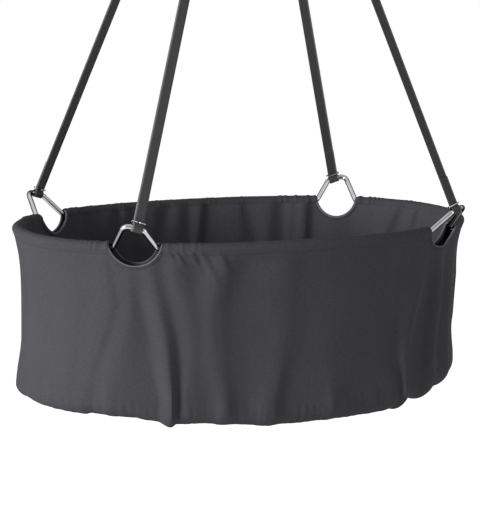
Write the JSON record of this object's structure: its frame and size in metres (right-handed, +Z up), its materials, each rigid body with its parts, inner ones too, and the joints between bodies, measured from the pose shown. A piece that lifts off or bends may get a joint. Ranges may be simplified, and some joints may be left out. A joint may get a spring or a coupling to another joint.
{
  "type": "hanging baby cradle",
  "caption": "Oval canvas baby basket on a tube rim, hung by flat webbing straps from wire hangers up to a steel triangle and a spring hook.",
  "frame": {"origin": "the point inside the spring hook's upper bow where a ceiling hook bears", "axes": "+Z up, +X along the basket, +Y across it toward the back"},
  "size_m": [0.816, 0.526, 1.31],
  "materials": {
    "polished_steel": "polished steel rod",
    "tube_steel": "plain steel tube",
    "webbing": "grey woven webbing",
    "canvas": "charcoal cotton canvas",
    "plywood": "thin birch plywood",
    "mattress_cloth": "off-white cotton over foam"
  },
  "bodies": {
    "hook": {"hook_body": "polished_steel", "hook_gate_pin": "polished_steel"},
    "gate": {"hook_gate": "polished_steel"},
    "top_hanger": {"top_hanger": "polished_steel"},
    "basket": {"outer_wall": "canvas", "outer_floor": "canvas", "base_board": "plywood", "lining_wall": "canvas", "lining_floor": "canvas", "strap_back_right": "webbing", "strap_back_left": "webbing", "strap_front_left": "webbing", "strap_front_right": "webbing", "wire_hanger_back_right": "polished_steel", "wire_hanger_back_left": "polished_steel", "wire_hanger_front_left": "polished_steel", "wire_hanger_front_right": "polished_steel", "rim_tube_back": "tube_steel", "rim_tube_left": "tube_steel", "rim_tube_front": "tube_steel", "rim_tube_right": "tube_steel", "rim_hem_back": "canvas", "rim_hem_left": "canvas", "rim_hem_front": "canvas", "rim_hem_right": "canvas"},
    "mattress": {"mattress": "mattress_cloth"},
    "keeper_back_right": {"wire_keeper_back_right": "polished_steel"},
    "keeper_back_left": {"wire_keeper_back_left": "polished_steel"},
    "keeper_front_left": {"wire_keeper_front_left": "polished_steel"},
    "keeper_front_right": {"wire_keeper_front_right": "polished_steel"}
  },
  "joints": [
    {"name": "swing_lengthwise", "type": "hinge", "parent": "hook", "child": "top_hanger", "pos_m": [0, 0, -0.068], "axis": [0, 1, 0], "range_deg": [-20, 20]},
    {"name": "swing_sideways", "type": "hinge", "parent": "top_hanger", "child": "basket", "pos_m": [0, 0, -0.1272], "axis": [1, 0, 0], "range_deg": [-20, 20]},
    {"name": "gate_open", "type": "hinge", "parent": "hook", "child": "gate", "pos_m": [0, -0.016, -0.0431], "axis": [-1, 0, 0], "range_deg": [0, 35], "stiffness_Nm_per_rad": 0.1, "springref_deg": -11.46},
    {"name": "mattress_lift", "type": "slide", "parent": "basket", "child": "mattress", "axis": [0, 0, 1], "range_m": [0, 0.33]},
    {"name": "keeper_slide_back_right", "type": "slide", "parent": "basket", "child": "keeper_back_right", "axis": [-0.3111, -0.2414, 0.9192], "range_m": [0, 0.045]},
    {"name": "keeper_slide_back_left", "type": "slide", "parent": "basket", "child": "keeper_back_left", "axis": [0.2926, -0.2429, 0.9249], "range_m": [0, 0.045]},
    {"name": "keeper_slide_front_left", "type": "slide", "parent": "basket", "child": "keeper_front_left", "axis": [0.3111, 0.2414, 0.9192], "range_m": [0, 0.045]},
    {"name": "keeper_slide_front_right", "type": "slide", "parent": "basket", "child": "keeper_front_right", "axis": [-0.2926, 0.2429, 0.9249], "range_m": [0, 0.045]}
  ]
}
